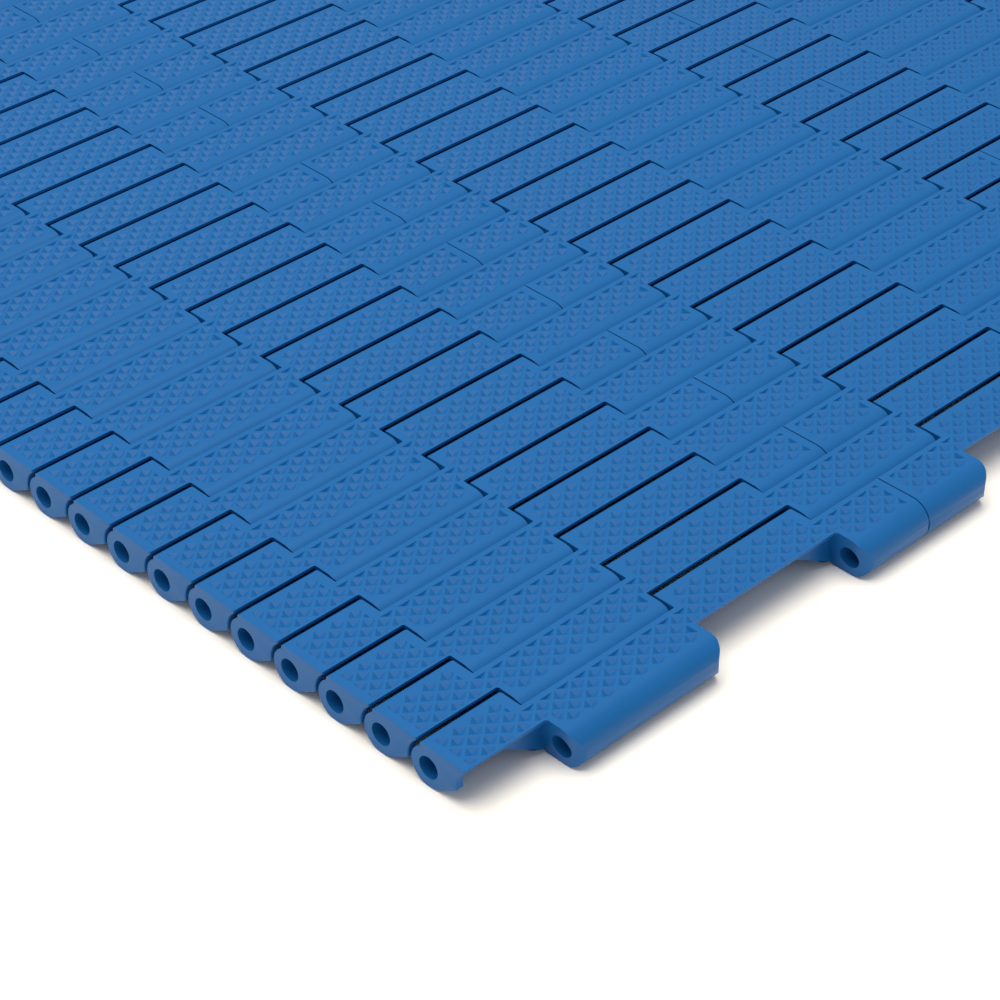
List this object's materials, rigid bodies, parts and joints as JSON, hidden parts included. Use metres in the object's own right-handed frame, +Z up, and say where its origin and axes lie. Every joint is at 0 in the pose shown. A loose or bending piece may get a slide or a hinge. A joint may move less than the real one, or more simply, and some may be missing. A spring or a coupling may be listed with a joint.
{
  "type": "modular plastic conveyor belt",
  "caption": "Flat modular conveyor belt: moulded link modules in brick-laid rows, interlocking knuckles hinged on headless pins, flush closed deck with fine dimples.",
  "frame": {"origin": "on the surface that the belt lies on, at the middle of its width and of its length", "axes": "+X across the belt, along the hinge pins; +Y along the travel, from the front row's free knuckles to the back row's; +Z up, out of the deck"},
  "size_m": [0.2048, 0.2058, 0.006],
  "materials": {
    "link": "satin moulded mid-blue",
    "pin": "satin darker blue"
  },
  "bodies": {
    "row_01": {"row_01": "link", "hinge_pin_01": "pin"},
    "row_02": {"row_02": "link", "hinge_pin_02": "pin"},
    "row_03": {"row_03": "link", "hinge_pin_03": "pin"},
    "row_04": {"row_04": "link", "hinge_pin_04": "pin"},
    "row_05": {"row_05": "link", "hinge_pin_05": "pin"},
    "row_06": {"row_06": "link", "hinge_pin_06": "pin"},
    "row_07": {"row_07": "link", "hinge_pin_07": "pin"},
    "row_08": {"row_08": "link", "hinge_pin_08": "pin"},
    "row_09": {"row_09": "link", "hinge_pin_09": "pin"},
    "row_10": {"row_10": "link", "hinge_pin_10": "pin"},
    "row_11": {"row_11": "link", "hinge_pin_11": "pin"},
    "row_12": {"row_12": "link", "hinge_pin_12": "pin"},
    "row_13": {"row_13": "link", "hinge_pin_13": "pin"},
    "row_14": {"row_14": "link", "hinge_pin_14": "pin"},
    "row_15": {"row_15": "link", "hinge_pin_15": "pin"},
    "row_16": {"row_16": "link", "hinge_pin_16": "pin"},
    "row_17": {"row_17": "link", "hinge_pin_17": "pin"},
    "row_18": {"row_18": "link", "hinge_pin_18": "pin"},
    "row_19": {"row_19": "link", "hinge_pin_19": "pin"},
    "row_20": {"row_20": "link", "hinge_pin_20": "pin"},
    "row_21": {"row_21": "link", "hinge_pin_21": "pin"},
    "row_22": {"row_22": "link", "hinge_pin_22": "pin"},
    "row_23": {"row_23": "link", "hinge_pin_23": "pin"},
    "row_24": {"row_24": "link", "hinge_pin_24": "pin"},
    "row_25": {"row_25": "link"}
  },
  "joints": [
    {"name": "hinge_12", "type": "hinge", "parent": "row_13", "child": "row_12", "pos_m": [0, -0.00392, 0.00285], "axis": [1, 0, 0], "range_deg": [-55, 75]},
    {"name": "hinge_13", "type": "hinge", "parent": "row_13", "child": "row_14", "pos_m": [0, 0.00407, 0.00285], "axis": [1, 0, 0], "range_deg": [-75, 55]},
    {"name": "hinge_11", "type": "hinge", "parent": "row_12", "child": "row_11", "pos_m": [0, -0.01192, 0.00285], "axis": [-1, 0, 0], "range_deg": [-75, 55]},
    {"name": "hinge_14", "type": "hinge", "parent": "row_14", "child": "row_15", "pos_m": [0, 0.01208, 0.00285], "axis": [-1, 0, 0], "range_deg": [-55, 75]},
    {"name": "hinge_10", "type": "hinge", "parent": "row_11", "child": "row_10", "pos_m": [0, -0.01992, 0.00285], "axis": [1, 0, 0], "range_deg": [-55, 75]},
    {"name": "hinge_15", "type": "hinge", "parent": "row_15", "child": "row_16", "pos_m": [0, 0.02007, 0.00285], "axis": [1, 0, 0], "range_deg": [-75, 55]},
    {"name": "hinge_09", "type": "hinge", "parent": "row_10", "child": "row_09", "pos_m": [0, -0.02792, 0.00285], "axis": [-1, 0, 0], "range_deg": [-75, 55]},
    {"name": "hinge_16", "type": "hinge", "parent": "row_16", "child": "row_17", "pos_m": [0, 0.02807, 0.00285], "axis": [-1, 0, 0], "range_deg": [-55, 75]},
    {"name": "hinge_08", "type": "hinge", "parent": "row_09", "child": "row_08", "pos_m": [0, -0.03592, 0.00285], "axis": [1, 0, 0], "range_deg": [-55, 75]},
    {"name": "hinge_17", "type": "hinge", "parent": "row_17", "child": "row_18", "pos_m": [0, 0.03608, 0.00285], "axis": [1, 0, 0], "range_deg": [-75, 55]},
    {"name": "hinge_07", "type": "hinge", "parent": "row_08", "child": "row_07", "pos_m": [0, -0.04392, 0.00285], "axis": [-1, 0, 0], "range_deg": [-75, 55]},
    {"name": "hinge_18", "type": "hinge", "parent": "row_18", "child": "row_19", "pos_m": [0, 0.04408, 0.00285], "axis": [-1, 0, 0], "range_deg": [-55, 75]},
    {"name": "hinge_06", "type": "hinge", "parent": "row_07", "child": "row_06", "pos_m": [0, -0.05192, 0.00285], "axis": [1, 0, 0], "range_deg": [-55, 75]},
    {"name": "hinge_19", "type": "hinge", "parent": "row_19", "child": "row_20", "pos_m": [0, 0.05208, 0.00285], "axis": [1, 0, 0], "range_deg": [-75, 55]},
    {"name": "hinge_05", "type": "hinge", "parent": "row_06", "child": "row_05", "pos_m": [0, -0.05992, 0.00285], "axis": [-1, 0, 0], "range_deg": [-75, 55]},
    {"name": "hinge_20", "type": "hinge", "parent": "row_20", "child": "row_21", "pos_m": [0, 0.06008, 0.00285], "axis": [-1, 0, 0], "range_deg": [-55, 75]},
    {"name": "hinge_04", "type": "hinge", "parent": "row_05", "child": "row_04", "pos_m": [0, -0.06792, 0.00285], "axis": [1, 0, 0], "range_deg": [-55, 75]},
    {"name": "hinge_21", "type": "hinge", "parent": "row_21", "child": "row_22", "pos_m": [0, 0.06807, 0.00285], "axis": [1, 0, 0], "range_deg": [-75, 55]},
    {"name": "hinge_03", "type": "hinge", "parent": "row_04", "child": "row_03", "pos_m": [0, -0.07593, 0.00285], "axis": [-1, 0, 0], "range_deg": [-75, 55]},
    {"name": "hinge_22", "type": "hinge", "parent": "row_22", "child": "row_23", "pos_m": [0, 0.07608, 0.00285], "axis": [-1, 0, 0], "range_deg": [-55, 75]},
    {"name": "hinge_02", "type": "hinge", "parent": "row_03", "child": "row_02", "pos_m": [0, -0.08392, 0.00285], "axis": [1, 0, 0], "range_deg": [-55, 75]},
    {"name": "hinge_23", "type": "hinge", "parent": "row_23", "child": "row_24", "pos_m": [0, 0.08407, 0.00285], "axis": [1, 0, 0], "range_deg": [-75, 55]},
    {"name": "hinge_01", "type": "hinge", "parent": "row_02", "child": "row_01", "pos_m": [0, -0.09193, 0.00285], "axis": [-1, 0, 0], "range_deg": [-75, 55]},
    {"name": "hinge_24", "type": "hinge", "parent": "row_24", "child": "row_25", "pos_m": [0, 0.09208, 0.00285], "axis": [-1, 0, 0], "range_deg": [-55, 75]}
  ]
}
